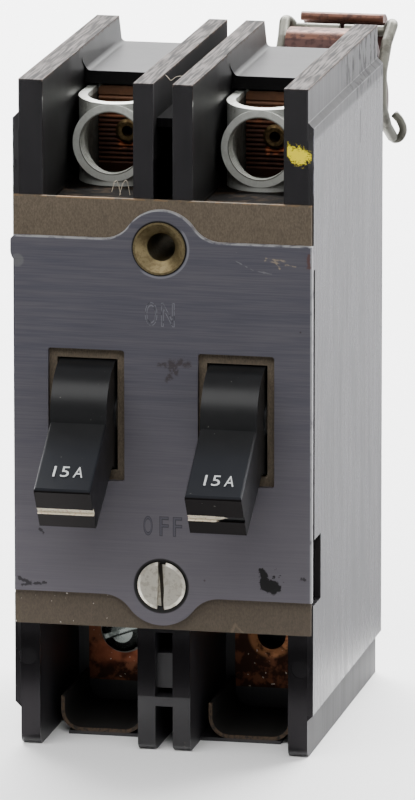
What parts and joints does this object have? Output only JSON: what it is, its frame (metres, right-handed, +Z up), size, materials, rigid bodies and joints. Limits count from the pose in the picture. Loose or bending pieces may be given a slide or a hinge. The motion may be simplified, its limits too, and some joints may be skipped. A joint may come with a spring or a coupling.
{
  "type": "two pole circuit breaker",
  "caption": "Moulded case circuit breaker with separate toggles side by side, wire lugs in open pockets on top, screw terminals below and a sprung plug-on jaw behind.",
  "frame": {"origin": "on the ground plane under the middle of the overall bounds, jaw and handles included", "axes": "+X to the right pole, -Y out of the front (handle side), +Z up to the line lugs"},
  "size_m": [0.0514, 0.1211, 0.1143],
  "materials": {
    "bakelite": "glossy moulded phenolic",
    "handle_bakelite": "satin moulded phenolic",
    "fibre": "matt brown vulcanised fibre",
    "plate_metal": "brushed grey lacquer",
    "brass": "aged",
    "zinc_steel": "zinc plated",
    "dark_steel": "dull",
    "copper": "tarnished copper",
    "spring_steel": "dull",
    "silver": "satin"
  },
  "bodies": {
    "case": {"case": "bakelite", "fibre_sheet": "fibre", "faceplate": "plate_metal", "mounting_eyelet": "brass", "faceplate_screw": "dark_steel", "screw_insert": "brass", "rear_jaw_upper": "copper", "rear_jaw_lower": "copper", "rear_jaw_spring": "spring_steel", "load_screw_left": "dark_steel", "load_washer_left": "zinc_steel", "frame_screws": "dark_steel", "handle_pin_left": "dark_steel", "mechanism_frame_left": "zinc_steel", "line_lug_left": "zinc_steel", "line_strap_left": "copper", "line_rivet_left": "brass", "fixed_contact_left": "silver", "arm_pin_left": "dark_steel", "lever_pin_left": "dark_steel", "bimetal_left": "brass", "calibration_screw_left": "brass", "braid_left": "copper", "load_strap_left": "copper", "arc_chute_left": "fibre", "arc_plates_left": "dark_steel", "pocket_liner_left": "fibre", "handle_pin_right": "dark_steel", "mechanism_frame_right": "zinc_steel", "line_lug_right": "zinc_steel", "line_strap_right": "copper", "line_rivet_right": "brass", "fixed_contact_right": "silver", "arm_pin_right": "dark_steel", "lever_pin_right": "dark_steel", "bimetal_right": "brass", "calibration_screw_right": "brass", "braid_right": "copper", "load_strap_right": "copper", "arc_chute_right": "fibre", "arc_plates_right": "dark_steel", "pocket_liner_right": "fibre"},
    "handle_left": {"toggle_handle_left": "handle_bakelite", "toggle_yoke_left": "zinc_steel"},
    "arm_left": {"contact_arm_left": "copper", "moving_contact_left": "silver", "spring_pin_left": "dark_steel", "toggle_spring_left": "spring_steel"},
    "trip_lever_left": {"trip_lever_left": "zinc_steel"},
    "handle_right": {"toggle_handle_right": "handle_bakelite", "toggle_yoke_right": "zinc_steel"},
    "arm_right": {"contact_arm_right": "copper", "moving_contact_right": "silver", "spring_pin_right": "dark_steel", "toggle_spring_right": "spring_steel"},
    "trip_lever_right": {"trip_lever_right": "zinc_steel"},
    "trip_bar": {"trip_bar": "bakelite"}
  },
  "joints": [
    {"name": "handle_left", "type": "hinge", "parent": "case", "child": "handle_left", "pos_m": [-0.01277, -0.0388, 0.058], "axis": [-1, 0, 0], "range_deg": [0, 66]},
    {"name": "arm_left", "type": "hinge", "parent": "case", "child": "arm_left", "pos_m": [-0.01277, -0.01985, 0.058], "axis": [-1, 0, 0], "range_deg": [0, 16], "deforming": ["toggle_spring_left"]},
    {"name": "handle_right", "type": "hinge", "parent": "case", "child": "handle_right", "pos_m": [0.01277, -0.0388, 0.058], "axis": [-1, 0, 0], "range_deg": [0, 66]},
    {"name": "arm_right", "type": "hinge", "parent": "case", "child": "arm_right", "pos_m": [0.01277, -0.01985, 0.058], "axis": [-1, 0, 0], "range_deg": [0, 16], "deforming": ["toggle_spring_right"]},
    {"name": "trip_bar", "type": "hinge", "parent": "case", "child": "trip_bar", "pos_m": [0, 0.00415, 0.0636], "axis": [1, 0, 0], "range_deg": [0, 10], "stiffness_Nm_per_rad": 0.02},
    {"name": "trip_lever_left", "type": "hinge", "parent": "case", "child": "trip_lever_left", "pos_m": [-0.01277, 0.00715, 0.0406], "axis": [-1, 0, 0], "range_deg": [0, 5]},
    {"name": "trip_lever_right", "type": "hinge", "parent": "case", "child": "trip_lever_right", "pos_m": [0.01277, 0.00715, 0.0406], "axis": [-1, 0, 0], "range_deg": [0, 5]}
  ],
  "couplings": [
    {"joint": "arm_left", "follows": "handle_left", "ratio": 0.2424},
    {"joint": "arm_right", "follows": "handle_right", "ratio": 0.2424},
    {"joint": "trip_lever_left", "follows": "trip_bar", "ratio": 0.5},
    {"joint": "trip_lever_right", "follows": "trip_bar", "ratio": 0.5}
  ]
}
